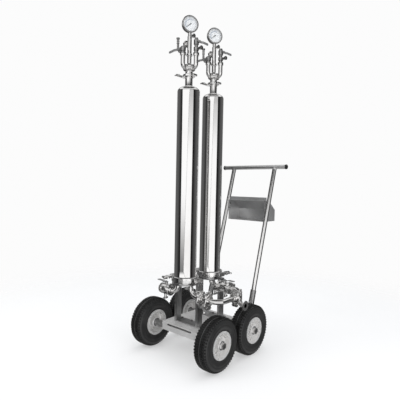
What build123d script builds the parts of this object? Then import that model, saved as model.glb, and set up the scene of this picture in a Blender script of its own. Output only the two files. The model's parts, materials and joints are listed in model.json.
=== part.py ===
from build123d import *
import os
from math import cos, radians, sin, tan

# Twin candle filter housings on a four-wheel cart. Millimetres, +Z up, +X to the right of the
# cart, +Y towards the push handle. Everything is drawn about a point on the floor midway
# between the axles, then moved so that the origin lies under the middle of the whole cart.

# ---- wheels and axles -------------------------------------------------------------------
wheelbase = 271.0
wheel_track = 454.0
tyre_diameter = 260.0
tyre_width = 80.0
tread_groove_width = 4.0
tread_groove_depth = 4.0
rim_diameter = 136.0
rim_width = 74.0
rim_wall = 3.0
hub_diameter = 52.0
hub_length = 68.0
bearing_diameter = 42.0
bearing_width = 12.0
axle_diameter = 20.0
running_clearance = 0.06
end_clearance = 0.4
washer_diameter = 37.0
washer_thickness = 2.0
axle_nut_across = 30.0
axle_nut_height = 11.0
axle_tube_diameter = 34.0
sheet_gap = 0.3

# ---- deck and legs ----------------------------------------------------------------------
deck_top = 160.0
deck_width = 250.0
deck_length = 320.0
deck_sheet = 3.0
deck_lip = 42.0
lip_slot_length = 172.0
lip_slot_height = 10.0
lip_slot_below_top = 5.0
leg_spacing = 148.0
leg_width = 16.0
leg_depth = 36.0
leg_wall = 2.0
leg_offset_front = 28.0
leg_offset_rear = 10.0
foot_thickness = 5.0
foot_behind_leg = 24.0
collar_thickness = 6.0
collar_margin = 10.0
bolt_head_diameter = 13.0
bolt_head_height = 5.5

# ---- handle and tray --------------------------------------------------------------------
handle_tube = 25.4
handle_wall = 1.6
handle_spacing = 300.0
handle_bar_length = 446.0
handle_height = 1002.0
handle_reach = 490.0
handle_lean = 15.6
cap_length = 9.0
cap_diameter = 28.0
socket_diameter = 32.0
socket_length = 110.0
socket_foot_height = 186.0
socket_foot = 4.0
arm_thickness = 8.0
arm_rise = 64.0
arm_below_axle = 16.0
arm_above_axle = 20.0
eye_wall = 6.0
tray_side_gap = 3.3
tray_front = 415.0
tray_depth = 116.0
tray_floor = 673.0
tray_shoulder = 741.0
tray_top = 797.0
tray_slope_start = 47.0
tray_band = 22.0
tray_sheet = 1.5
tray_bolt_diameter = 6.0
tray_bolt_drops = (24.0, 50.0)

# ---- housings ---------------------------------------------------------------------------
housing_front_y = -120.0
housing_rear_y = 75.0
bell_diameter = 114.3
bell_wall = 2.0
seal_height = 404.0
neck_length = 80.0
dome_rise = 29.0
flange_diameter = 121.0
flange_edge = 2.85
flange_slope = 20.0
seal_thickness = 1.5
base_depth = 31.0
collar_overlap = 3.0
base_chamfer = 1.5
socket_bore = 44.2
socket_wall = 5.0
socket_rise = 22.0
socket_floor_thickness = 9.0
passage_diameter = 18.0
cross_passage_diameter = 14.0
neck_diameter = 38.1
base_clamp_diameter = 140.0
base_clamp_width = 28.0
base_lug = 20.0
base_bolt_diameter = 10.0
base_bolt_reach = 78.0
base_nut_seat = 50.0
cartridge_diameter = 70.0
cartridge_seat = 24.0
cartridge_headroom = 9.0
cartridge_core = 24.0
cartridge_cap_height = 14.0
fin_height = 22.0
spigot_clearance = 0.3
o_ring_section = 3.0

# ---- sanitary tube, ferrules and small clamps -------------------------------------------
tube_diameter = 25.4
tube_wall = 1.65
rim_flange_diameter = 50.5
rim_flange_edge = 2.0
rim_flange_step = 21.75
ferrule_length = 12.0
gasket_thickness = 1.0
clamp_diameter = 62.0
clamp_width = 12.0
clamp_lug = 13.0
clamp_split = 2.0
clamp_clearance = 0.15
clamp_bolt_diameter = 6.0
clamp_bolt_reach = 38.0
neck_bolt_reach = 52.0

# ---- pipework ---------------------------------------------------------------------------
inlet_drop = 33.0
inlet_front_port = (-8.0, -44.0)
inlet_rear_port = (-27.0, -36.0)
inlet_front_face = -60.0
inlet_rear_face = -100.0
outlet_front_port = (45.0, -5.0)
outlet_rear_port = (37.0, -26.0)
front_run_drop = 53.0
rear_run_drop = 23.0
elbow_straight = 3.0
front_run_face = 112.0
rear_run_face = 95.0
tee_length = 52.0
valve_length = 66.0
valve_body_diameter = 52.0
valve_body_width = 26.0
valve_stem_diameter = 8.0
valve_seat_bore = 21.5
valve_seat_width = 23.0
disc_clearance = 0.35
disc_thickness = 2.6
valve_handle_length = 62.0
valve_handle_width = 18.0
collector_x = 226.0
collector_bend = 25.0
collector_drop = 41.0
collector_outlet_bend = 20.0
collector_outlet_end = 263.0
branch_stub = 40.0
sweep_bend = 56.0
drain_drop = 68.0
drain_lever_length = 50.0
drain_lever_tilt = -25.0
drain_valve_drop = 32.0
drain_boss_reach = 17.0

# ---- top set ----------------------------------------------------------------------------
vent_arm_reach = 46.0
vent_arm_rise = 36.0
vent_arm_bend = 18.0
vent_riser = 63.0
vent_body_rise = 57.0
stem_diameter = 22.0
gauge_height = 1690.0
gauge_rise = 257.0
gauge_stem_cap_rise = 107.0
gauge_knob_drop = 20.0
gauge_diameter = 85.0
gauge_body_diameter = 78.0
gauge_depth = 30.0
gauge_turn = 60.0
gauge_window = 72.0
vent_lever_length = 62.0
valve_ball_diameter = 26.0
sample_ball_rise = 22.0
barb_reach = 36.0
barb_length = 30.0
barb_rise = 86.0
spout_rise = 26.0
spout_reach = 40.0
bleed_ball_rise = 59.0
bleed_boss_reach = 17.0
sample_boss_reach = 3.0
sample_lever_offset = 14.0

# ---- worked out -------------------------------------------------------------------------
front_axle_y = -wheelbase / 2
rear_axle_y = wheelbase / 2
axle_height = tyre_diameter / 2
cart_front = front_axle_y - tyre_diameter / 2
cart_back = tray_front + tray_depth
middle_y = (cart_front + cart_back) / 2
tray_width = handle_spacing - handle_tube - 2 * tray_side_gap
base_bottom = seal_height - base_depth
collar_height = base_bottom + collar_overlap
socket_floor = base_bottom + socket_floor_thickness
cartridge_shoulder = seal_height + cartridge_seat
neck_joint_height = gauge_height - gauge_rise
dome_base_height = neck_joint_height - neck_length
cartridge_top = dome_base_height - cartridge_headroom
vent_arm_height = neck_joint_height + vent_arm_rise
vent_arm_top = vent_arm_height + vent_riser
vent_body_top = neck_joint_height + vent_body_rise
inlet_height = base_bottom - inlet_drop
front_run_height = base_bottom - front_run_drop
rear_run_height = base_bottom - rear_run_drop
collector_outlet_height = front_run_height - collector_drop
bell_radius = bell_diameter / 2
tube_radius = tube_diameter / 2
tube_bore = tube_radius - tube_wall
slope = tan(radians(flange_slope))
half_seal = seal_thickness / 2
half_gasket = gasket_thickness / 2
housings = (("front", housing_front_y), ("rear", housing_rear_y))
up = (0, 0, 1)


# ---- helpers ----------------------------------------------------------------------------
def turned(points):
    """A solid turned about Z from an outline of (radius, height) points."""
    outline = Polyline(*[(radius, 0, height) for radius, height in points], close=True)
    return revolve(make_face(outline), axis=Axis.Z)


def ring(inner, outer, low, high):
    """A plain ring about Z."""
    return turned([(inner, low), (outer, low), (outer, high), (inner, high)])


def aimed(shape, at, direction, across=None):
    """Stands a shape drawn along +Z at a point, along a direction, with its +X across."""
    if across is None:
        return Plane(origin=at, z_dir=direction).location * shape
    return Plane(origin=at, x_dir=across, z_dir=direction).location * shape


def rod(start, end, diameter):
    """A round bar from one point to another."""
    run = Vector(*end) - Vector(*start)
    return aimed(extrude(Circle(diameter / 2), amount=run.length), start, run)


def bent(points, bend, diameter):
    """A round bar along straight runs joined by arcs of one radius or a list of radii."""
    path = Line(*points) if len(points) == 2 else FilletPolyline(*points, radius=bend)
    section = Plane(origin=path @ 0, z_dir=path % 0) * Circle(diameter / 2)
    return sweep(section, path=path)


def plate(width, depth, thickness, corner=0.0):
    """A flat plate centred on the origin, standing on z = 0."""
    outline = RectangleRounded(width, depth, corner) if corner else Rectangle(width, depth)
    return extrude(outline, amount=thickness)


def join(pieces):
    """Fuses pieces into one."""
    whole = pieces[0]
    for piece in pieces[1:]:
        whole = whole + piece
    return whole


def ferrule(neck_radius):
    """The solid of a clamp ferrule along +Z, its face on z = 0 and its neck going up."""
    step = rim_flange_edge + (rim_flange_diameter / 2 - rim_flange_step) * slope
    return turned([
        (0, 0), (rim_flange_diameter / 2, 0), (rim_flange_diameter / 2, rim_flange_edge),
        (rim_flange_step, step), (neck_radius + 1.5, step), (neck_radius, step + 1.5),
        (neck_radius, ferrule_length), (0, ferrule_length)])


def wing_nut(bore, hub, wing, height):
    """A wing nut along +Z, standing on z = 0, its wings along X."""
    body = turned([(0, 0), (hub, 0), (hub * 0.75, height), (0, height)])
    loop = Pos(0, 0, height * 0.55) * Rot(90, 0, 0) * extrude(
        SlotOverall(2 * wing, height * 0.8), amount=hub * 0.3, both=True)
    return body + loop - Cylinder(bore, 3 * height)


def clamp_profile(rim_radius, edge, gap, outer, width):
    """The outline of half of a clamp's grooved ring: the groove fits two ferrule rims."""
    lip = rim_radius - (rim_radius - rim_flange_step) * 0.85
    if rim_radius > rim_flange_diameter:
        lip = bell_radius + 1.0
    groove = edge + gap + clamp_clearance
    lip_groove = groove + (rim_radius - lip) * slope
    reach = rim_radius + clamp_clearance
    half = width / 2
    return [(reach, -groove), (lip, -lip_groove), (lip, -half), (outer - 2, -half),
            (outer, -half + 2), (outer, half - 2), (outer - 2, half), (lip, half),
            (lip, lip_groove), (reach, groove)]


def clamp_set(rim_radius, edge, gap, outer, width, lug, bolt, reach):
    """A two-piece clamp about Z: halves, hinge link, T-bolt; the bolt side is -X, along -Y."""
    body = turned(clamp_profile(rim_radius, edge, gap, outer, width))
    bore = Cylinder(bolt / 2 + 0.3, 6 * lug)
    lug_x = outer + lug / 2 - 1.5
    pieces = []
    for side in (1, -1):
        half = body & Pos(0, side * (outer + clamp_split / 2), 0) * Box(4 * outer, 2 * outer, width)
        for end in (-1, 1):
            block = Pos(end * (lug_x - 1), side * (clamp_split + lug) / 2, 0) * Box(
                lug + 4, lug, width * 0.7)
            half = half + (block - Cylinder(outer - 3, width))
        for end in (-1, 1):
            half = half - Pos(end * lug_x, 0, 0) * Rot(90, 0, 0) * bore
        pieces.append(half)
    far = lug + clamp_split / 2
    pieces.append(Pos(lug_x, 0, 0) * (
        rod((0, -far - 3, 0), (0, far + 3, 0), bolt)
        + rod((0, -far - 3, 0), (0, -far, 0), bolt * 1.7)
        + rod((0, far, 0), (0, far + 3, 0), bolt * 1.7)))
    pieces.append(Pos(-lug_x, 0, 0) * (
        rod((0, -reach, 0), (0, far + 3, 0), bolt)
        + rod((0, far, 0), (0, far + 3, 0), bolt * 1.8)))
    return pieces, lug_x, far


def small_clamp(at, direction, across, reach=clamp_bolt_reach):
    """A clamp for the small ferrules with its wing nut, about a direction."""
    pieces, lug_x, far = clamp_set(
        rim_flange_diameter / 2, rim_flange_edge, half_gasket, clamp_diameter / 2,
        clamp_width, clamp_lug, clamp_bolt_diameter, reach)
    nut_height = 11.0
    nut = wing_nut(clamp_bolt_diameter / 2, 7, 17, nut_height)
    start = -(reach - nut_height + 1)
    pieces.append(aimed(nut, (-lug_x, start, 0), (0, -1, 0), (1, 0, 0)))
    pieces.append(aimed(ring(clamp_bolt_diameter / 2 + 0.1, 6, 0, -start - far), (-lug_x, -far, 0),
                        (0, -1, 0), (1, 0, 0)))
    return [aimed(piece, at, direction, across) for piece in pieces]


def gasket(at, direction, bore):
    """The seal between two small ferrules."""
    return aimed(ring(bore, rim_flange_diameter / 2 - 1, -half_gasket, half_gasket), at, direction)


def hollow(outside, inside):
    return outside - inside


nodes = {}


def keep(name, *pieces):
    """Files pieces under a node name."""
    nodes.setdefault(name, []).extend(pieces)


# ---- wheels -----------------------------------------------------------------------------
rim_radius = rim_diameter / 2
hub_radius = hub_diameter / 2
bead_radius = rim_radius - 8.0
bearing_radius = bearing_diameter / 2
axle_radius = axle_diameter / 2
seat_depth = hub_length / 2 - bearing_width


def tyre():
    """A pneumatic tyre about Z: ribbed crown, rounded shoulders, beads inside the rim."""
    crown = tyre_diameter / 2
    half = tyre_width / 2
    tread = half - 12.0
    bead_half = rim_width / 2 - rim_wall - sheet_gap
    pitch = tread / 2
    side = [(bead_radius, -bead_half), (rim_radius + 3, -bead_half), (rim_radius + 14, -half + 2),
            (rim_radius + 28, -half), (crown - 18, -half + 1), (crown - 7, -half + 5),
            (crown - 2, -tread - 3)]
    ribs = []
    for groove in (-pitch * 1.5, -pitch * 0.5, pitch * 0.5, pitch * 1.5):
        low = groove - tread_groove_width / 2
        high = groove + tread_groove_width / 2
        ribs += [(crown, low), (crown - tread_groove_depth, low),
                 (crown - tread_groove_depth, high), (crown, high)]
    outer = side + ribs + [(radius, -height) for radius, height in reversed(side)]
    wall = 7.0
    inner = [(bead_radius, bead_half - 9), (rim_radius + 10, half - wall - 2),
             (crown - 20, half - wall), (crown - 11, tread - 4)]
    inner += [(radius, -height) for radius, height in reversed(inner)]
    return turned(outer + inner)


def rim():
    """A pressed disc rim about Z: outer flanges, drop centre, dished disc and hub."""
    half = rim_width / 2
    flange = [(rim_radius, -half), (rim_radius, -half + rim_wall),
              (bead_radius, -half + rim_wall), (bead_radius, half - rim_wall),
              (rim_radius, half - rim_wall), (rim_radius, half)]
    inside = [(bead_radius - rim_wall - 1, half), (bead_radius - rim_wall, half - 4),
              (bead_radius - rim_wall, rim_wall * 2), (bead_radius - 10, rim_wall),
              (hub_radius + 8, rim_wall * 2), (hub_radius, rim_wall * 3),
              (hub_radius, hub_length / 2 - 1), (hub_radius - 1, hub_length / 2)]
    lower = [(radius, -height) for radius, height in reversed(inside)]
    bore = [(bearing_radius, -hub_length / 2), (bearing_radius, -seat_depth),
            (bearing_radius - 3, -seat_depth), (bearing_radius - 3, seat_depth),
            (bearing_radius, seat_depth), (bearing_radius, hub_length / 2)]
    return turned(flange + inside + list(reversed(bore)) + lower)


def bearing(low):
    """A sealed ball bearing about Z with shields set back from its races."""
    high = low + bearing_width
    bore = axle_radius
    return turned([
        (bore, low), (bore + 3, low), (bore + 3.5, low + 0.6), (bearing_radius - 3.5, low + 0.6),
        (bearing_radius - 3, low), (bearing_radius, low), (bearing_radius, high),
        (bearing_radius - 3, high), (bearing_radius - 3.5, high - 0.6), (bore + 3.5, high - 0.6),
        (bore + 3, high), (bore, high)])


wheel_places = {
    "front_left": (-wheel_track / 2, front_axle_y), "front_right": (wheel_track / 2, front_axle_y),
    "rear_left": (-wheel_track / 2, rear_axle_y), "rear_right": (wheel_track / 2, rear_axle_y)}
for place, (wheel_x, wheel_y) in wheel_places.items():
    outward = (1 if wheel_x > 0 else -1, 0, 0)
    spot = (wheel_x, wheel_y, axle_height)
    valve = rod((bead_radius - 14, 0, 12), (bead_radius - 2, 0, 12), 7.0)
    valve_tip = rod((bead_radius - 26, 0, 16), (bead_radius - 13, 0, 12), 5.0)
    keep("tyre_" + place, aimed(tyre(), spot, outward))
    keep("rim_" + place, aimed(rim() + valve + valve_tip, spot, outward, (0, 0, 1)))
    for low in (-hub_length / 2, seat_depth):
        keep("wheel_bearings_" + place, aimed(bearing(low), spot, outward))

# ---- axles ------------------------------------------------------------------------------
tube_half = wheel_track / 2 - hub_length / 2 - end_clearance
hub_face = wheel_track / 2 + hub_length / 2 + end_clearance
rod_half = hub_face + washer_thickness + axle_nut_height
rod_diameter = axle_diameter - 2 * running_clearance
for axle_y in (front_axle_y, rear_axle_y):
    tube_start = (-tube_half, axle_y, axle_height)
    tube_end = (tube_half, axle_y, axle_height)
    keep("axle_tubes", hollow(rod(tube_start, tube_end, axle_tube_diameter),
                              rod(tube_start, tube_end, axle_diameter)))
    keep("axle_rods", rod((-rod_half, axle_y, axle_height), (rod_half, axle_y, axle_height),
                          rod_diameter))
    for side in (-1, 1):
        washer = ring(axle_radius, washer_diameter / 2, 0, washer_thickness)
        nut = extrude(RegularPolygon(axle_nut_across / 2, 6, major_radius=False),
                      amount=axle_nut_height) - Cylinder(axle_radius, 4 * axle_nut_height)
        keep("axle_nuts",
             aimed(washer, (side * hub_face, axle_y, axle_height), (side, 0, 0)),
             aimed(nut, (side * (hub_face + washer_thickness), axle_y, axle_height), (side, 0, 0)))


# ---- deck -------------------------------------------------------------------------------
def deck():
    """A folded sheet with lips all round, a slotted front lip, and holes for the axle tubes."""
    outside = Pos(0, 0, deck_top - deck_lip / 2) * Box(deck_width, deck_length, deck_lip)
    outside = fillet(outside.edges().filter_by(Axis.Z), 6.0)
    inside = Pos(0, 0, deck_top - deck_sheet - deck_lip) * Box(
        deck_width - 2 * deck_sheet, deck_length - 2 * deck_sheet, 2 * deck_lip)
    body = outside - inside
    slot = Pos(0, -deck_length / 2, deck_top - lip_slot_below_top - lip_slot_height / 2)
    body = body - slot * Rot(90, 0, 0) * extrude(
        SlotOverall(lip_slot_length, lip_slot_height), amount=4 * deck_sheet, both=True)
    for axle_y in (front_axle_y, rear_axle_y):
        tube_path = ((-deck_width, axle_y, axle_height), (deck_width, axle_y, axle_height))
        body = body - rod(*tube_path, axle_tube_diameter)
    return body


keep("deck", deck())


# ---- legs -------------------------------------------------------------------------------
def leg_frame(centre_y, leg_y):
    """Two square-section legs with a foot plate and a collar plate around the housing base."""
    leg_x = leg_spacing / 2
    leg_height = collar_height - deck_top - foot_thickness
    pieces = []
    for side in (-1, 1):
        tube = plate(leg_width, leg_depth, leg_height) - Pos(0, 0, -1) * plate(
            leg_width - 2 * leg_wall, leg_depth - 2 * leg_wall, leg_height + 2)
        pieces.append(Pos(side * leg_x, leg_y, deck_top + foot_thickness) * tube)
    foot_depth = leg_depth + foot_behind_leg
    foot_width = leg_spacing + leg_width + 6.0
    foot = Pos(0, leg_y + foot_behind_leg / 2, deck_top) * plate(
        foot_width, foot_depth, foot_thickness, 4.0)
    outline = Pos(0, centre_y) * Circle(bell_radius + collar_margin)
    ears = Pos(0, leg_y) * RectangleRounded(leg_spacing + leg_width + 4, leg_depth + 4, 5.0)
    collar = Pos(0, 0, collar_height) * extrude(
        outline + ears - Pos(0, centre_y) * Circle(bell_radius), amount=collar_thickness)
    return join(pieces + [foot, collar])


for (name, centre_y), offset in zip(housings, (leg_offset_front, leg_offset_rear)):
    leg_y = centre_y + offset
    keep("leg_frame_" + name, leg_frame(centre_y, leg_y))
    bolt_y = leg_y + leg_depth / 2 + foot_behind_leg / 2
    for bolt_x in (-leg_spacing * 0.46, 0, leg_spacing * 0.46):
        head = extrude(RegularPolygon(bolt_head_diameter / 2, 6), amount=bolt_head_height)
        keep("frame_bolts", Pos(bolt_x, bolt_y, deck_top + foot_thickness) * head)

# ---- handle -----------------------------------------------------------------------------
lean = radians(handle_lean)
lean_direction = Vector(0, sin(lean), cos(lean))
upright_foot = socket_foot_height + socket_foot


def upright_y(height):
    """How far back the leaning upright's centre line is at a height."""
    return handle_reach - (handle_height - height) * tan(lean)


def handle():
    """Two leaning uprights welded under a crossbar, all of one round tube."""
    bar_half = handle_bar_length / 2
    bar_ends = ((-bar_half, handle_reach, handle_height), (bar_half, handle_reach, handle_height))
    bore = handle_tube - 2 * handle_wall
    outside = rod(*bar_ends, handle_tube)
    inside = rod(*bar_ends, bore)
    for side in (-1, 1):
        x = side * handle_spacing / 2
        foot = (x, upright_y(upright_foot), upright_foot)
        top = (x, handle_reach, handle_height)
        outside = outside + rod(foot, top, handle_tube)
        inside = inside + rod(foot, top, bore)
    return outside - inside


keep("handle_frame", handle())
for side in (-1, 1):
    x = side * handle_bar_length / 2
    cap = turned([(0, -14), (handle_tube / 2 - handle_wall, -14), (handle_tube / 2 - handle_wall, 0),
                  (cap_diameter / 2, 0), (cap_diameter / 2, cap_length - 2),
                  (cap_diameter / 2 - 2, cap_length), (0, cap_length)])
    keep("handle_end_caps", aimed(cap, (x, handle_reach, handle_height), (side, 0, 0)))


def handle_socket(side):
    """A sleeve along the upright's line with a gusset arm clamped round the rear axle tube."""
    x = side * handle_spacing / 2
    low = (x, upright_y(socket_foot_height), socket_foot_height)
    top_height = socket_foot_height + socket_length * cos(lean)
    high = (x, upright_y(top_height), top_height)
    sleeve = rod(low, high, socket_diameter)
    eye = rod((x - arm_thickness, rear_axle_y, axle_height),
              (x + arm_thickness, rear_axle_y, axle_height), axle_tube_diameter + 2 * eye_wall)
    arm_top = socket_foot_height + arm_rise
    arm_outline = Polyline(
        (rear_axle_y, axle_height - arm_below_axle), (upright_y(upright_foot) + 4, upright_foot),
        (upright_y(arm_top), arm_top), (upright_y(arm_top - 20) - 8, arm_top - 10),
        (rear_axle_y, axle_height + arm_above_axle), close=True)
    arm = Pos(x, 0, 0) * extrude(Plane.YZ * make_face(arm_outline), amount=arm_thickness / 2, both=True)
    body = sleeve + eye + arm
    body = body - rod((x - 50, rear_axle_y, axle_height), (x + 50, rear_axle_y, axle_height),
                      axle_tube_diameter)
    bore_start = (x, upright_y(upright_foot), upright_foot)
    bore_end = Vector(*high) + lean_direction * 20
    return body - rod(bore_start, tuple(bore_end), handle_tube)


for side in (-1, 1):
    keep("handle_sockets", handle_socket(side))


# ---- tray -------------------------------------------------------------------------------
def tray():
    """A folded sheet box, open towards the housings, with a sloped top and five-sided ends."""
    back = tray_front + tray_depth
    outline = [(tray_front, tray_floor), (back, tray_floor), (back, tray_shoulder),
               (tray_front + tray_slope_start, tray_top), (tray_front, tray_top)]
    shell = extrude(Plane.YZ * make_face(Polyline(*outline, close=True)), amount=tray_width / 2,
                    both=True)
    inner = [(tray_front - 30, tray_floor + tray_sheet), (back - tray_sheet, tray_floor + tray_sheet),
             (back - tray_sheet, tray_shoulder - 0.7 * tray_sheet),
             (tray_front + tray_slope_start - 0.7 * tray_sheet, tray_top - tray_sheet),
             (tray_front - 30, tray_top - tray_sheet)]
    cavity = extrude(Plane.YZ * make_face(Polyline(*inner, close=True)),
                     amount=tray_width / 2 - tray_sheet, both=True)
    band_y = upright_y(tray_top) - tray_sheet / 2
    band = Pos(0, band_y, tray_top + tray_band / 2 - tray_sheet) * Box(
        tray_width, tray_sheet, tray_band)
    return shell - cavity + band


keep("tool_tray", tray())
tray_side = tray_width / 2
for side in (-1, 1):
    for drop in tray_bolt_drops:
        height = tray_top - drop
        bolt_y = upright_y(height)
        start = tray_side - tray_sheet - 3.0
        end = handle_spacing / 2 - handle_tube / 2 + handle_wall
        shank = rod((side * (start + 3), bolt_y, height), (side * end, bolt_y, height),
                    tray_bolt_diameter)
        head = rod((side * start, bolt_y, height), (side * (start + 3), bolt_y, height),
                   2 * tray_bolt_diameter)
        keep("frame_bolts", head + shank)
        nodes["tool_tray"] = [nodes["tool_tray"][0] - shank]
        nodes["handle_frame"] = [nodes["handle_frame"][0] - shank]

# ---- housings ---------------------------------------------------------------------------
flange_radius = flange_diameter / 2
neck_radius = neck_diameter / 2
neck_bore = neck_radius - tube_wall
upper_face = seal_height + half_seal
lower_face = seal_height - half_seal


def dome_outline(radius, rise, foot, low, top):
    """Half of an elliptical dome over a straight wall, closed along the axis."""
    wall = Line((radius, low), (radius, foot))
    arc = EllipticalCenterArc((0, foot), radius, rise, start_angle=0, arc_size=90)
    crown = Polyline((0, foot + rise), (0, low), (radius, low))
    return revolve(Plane.XZ * make_face(wall + arc + crown), axis=Axis.Z)


def bell():
    """The housing's tall tube with its domed top, neck with ferrule, and bottom flange."""
    neck_face = neck_joint_height - half_gasket
    rim_back = upper_face + flange_edge
    flange = turned([(0, upper_face), (flange_radius, upper_face), (flange_radius, rim_back),
                     (bell_radius, rim_back + (flange_radius - bell_radius) * slope),
                     (0, rim_back + 2)])
    outside = dome_outline(bell_radius, dome_rise, dome_base_height, upper_face + 1, 0) + flange
    neck = Pos(0, 0, dome_base_height) * extrude(
        Circle(neck_radius), amount=neck_face - ferrule_length - dome_base_height)
    outside = outside + neck + aimed(ferrule(neck_radius), (0, 0, neck_face), (0, 0, -1))
    inside = dome_outline(bell_radius - bell_wall, dome_rise - bell_wall, dome_base_height,
                          upper_face - 5, 0)
    bore = Pos(0, 0, dome_base_height - 10) * extrude(
        Circle(neck_bore), amount=neck_face - dome_base_height + 20)
    return outside - inside - bore


def base(inlet, outlet, outlet_run, inlet_face, outlet_face):
    """The housing's foot: flange, candle socket, drilled passages and two welded port elbows."""
    rim_back = lower_face - flange_edge
    body = turned([(0, base_bottom), (bell_radius - base_chamfer, base_bottom),
                   (bell_radius, base_bottom + base_chamfer),
                   (bell_radius, rim_back - (flange_radius - bell_radius) * slope),
                   (flange_radius, rim_back), (flange_radius, lower_face),
                   (0, lower_face)])
    socket_radius = socket_bore / 2
    body = body + Pos(0, 0, lower_face) * extrude(Circle(socket_radius + socket_wall), amount=socket_rise)
    cuts = [Pos(0, 0, socket_floor) * extrude(Circle(socket_radius), amount=200)]
    inlet_x, inlet_y = inlet
    outlet_x, outlet_y = outlet
    cuts.append(Pos(inlet_x, inlet_y, base_bottom - 1) * extrude(
        Circle(passage_diameter / 2), amount=200))
    cross_z = socket_floor + cross_passage_diameter / 2 + 1.0
    cuts.append(rod((outlet_x, outlet_y, base_bottom - 1), (outlet_x, outlet_y, cross_z + 3),
                    passage_diameter))
    cuts.append(rod((0, 0, cross_z), (outlet_x, outlet_y, cross_z), cross_passage_diameter))
    runs = ((inlet, inlet_height, inlet_face, -1), (outlet, outlet_run, outlet_face, 1))
    for (port_x, port_y), run_z, face, way in runs:
        bend = base_bottom - run_z - elbow_straight
        path = [(port_x, port_y, base_bottom), (port_x, port_y, run_z),
                (face - way * (half_gasket + 2), port_y, run_z)]
        body = body + bent(path, bend, tube_diameter)
        body = body + aimed(ferrule(tube_radius), (face - way * half_gasket, port_y, run_z),
                            (-way, 0, 0))
        bore_path = [(port_x, port_y, base_bottom), (port_x, port_y, run_z),
                     (face + way * 5, port_y, run_z)]
        cuts.append(bent(bore_path, bend, 2 * tube_bore))
    for cut in cuts:
        body = body - cut
    return body


def cartridge():
    """A one-metre candle: spigot end cap, pleated body in its cage, and finned top cap."""
    radius = cartridge_diameter / 2
    spigot = socket_bore / 2 - spigot_clearance
    groove = o_ring_section * 0.8
    lowest = socket_floor + 8.0
    points = [(cartridge_core / 2, lowest), (spigot - 1, lowest), (spigot, lowest + 1)]
    for seat in (lowest + 6, lowest + 14):
        points += [(spigot, seat), (spigot - groove, seat), (spigot - groove, seat + o_ring_section),
                   (spigot, seat + o_ring_section)]
    points += [(spigot, cartridge_shoulder), (radius, cartridge_shoulder),
               (radius, cartridge_shoulder + cartridge_cap_height),
               (cartridge_core / 2, cartridge_shoulder + cartridge_cap_height)]
    foot = turned(points)
    body = ring(cartridge_core / 2, radius - 1, cartridge_shoulder + cartridge_cap_height,
                cartridge_top - cartridge_cap_height)
    hoops = []
    count = 9
    pitch = (cartridge_top - cartridge_shoulder - 2 * cartridge_cap_height) / count
    for step in range(1, count):
        middle = cartridge_shoulder + cartridge_cap_height + step * pitch
        hoops.append(ring(radius - 1.5, radius, middle - 3, middle + 3))
    head = ring(0, radius, cartridge_top - cartridge_cap_height, cartridge_top)
    head = head + Pos(0, 0, cartridge_top) * extrude(Circle(radius * 0.4), amount=4)
    fin = Pos(0, 0, cartridge_top) * Rot(90, 0, 0) * extrude(
        Trapezoid(2 * radius * 0.36, 2 * fin_height, 80), amount=1.6, both=True)
    fin = fin & Pos(0, 0, cartridge_top + fin_height / 2 + 1) * Box(60, 60, fin_height)
    seals = []
    for seat in (lowest + 6, lowest + 14):
        seals.append(ring(spigot - groove, socket_bore / 2 - 0.05, seat + 0.2,
                          seat + o_ring_section - 0.2))
    return [foot, join([body] + hoops), head + fin], seals


port_table = {
    "front": (inlet_front_port, outlet_front_port, front_run_height, inlet_front_face,
              front_run_face),
    "rear": (inlet_rear_port, outlet_rear_port, rear_run_height, inlet_rear_face, rear_run_face)}
nut_height = 22.0
for name, centre_y in housings:
    here = Pos(0, centre_y, 0)
    keep("bell_" + name, here * bell())
    keep("base_" + name, here * base(*port_table[name]))
    candle, rings = cartridge()
    keep("cartridge_" + name, *[here * piece for piece in candle])
    keep("seals", *[here * piece for piece in rings])
    keep("seals", here * ring(bell_radius - bell_wall, flange_radius - 1, lower_face, upper_face))
    turn = Rot(0, 0, 0 if name == "front" else 180)
    spot = Pos(0, centre_y, seal_height) * turn
    parts, lug_x, far = clamp_set(flange_radius, flange_edge, half_seal, base_clamp_diameter / 2,
                                  base_clamp_width, base_lug, base_bolt_diameter, base_bolt_reach)
    spacer = aimed(ring(base_bolt_diameter / 2 + 0.1, base_bolt_diameter * 0.9, 0, base_nut_seat - far),
                   (-lug_x, -far, 0), (0, -1, 0))
    keep("base_clamp_" + name, *[spot * piece for piece in parts + [spacer]])
    nut = wing_nut(base_bolt_diameter / 2 + running_clearance, 11, 26, nut_height)
    nut = aimed(nut, (-lug_x, -base_nut_seat - end_clearance, 0), (0, -1, 0), (1, 0, 0))
    keep("base_wing_nut_" + name, spot * nut)


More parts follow.
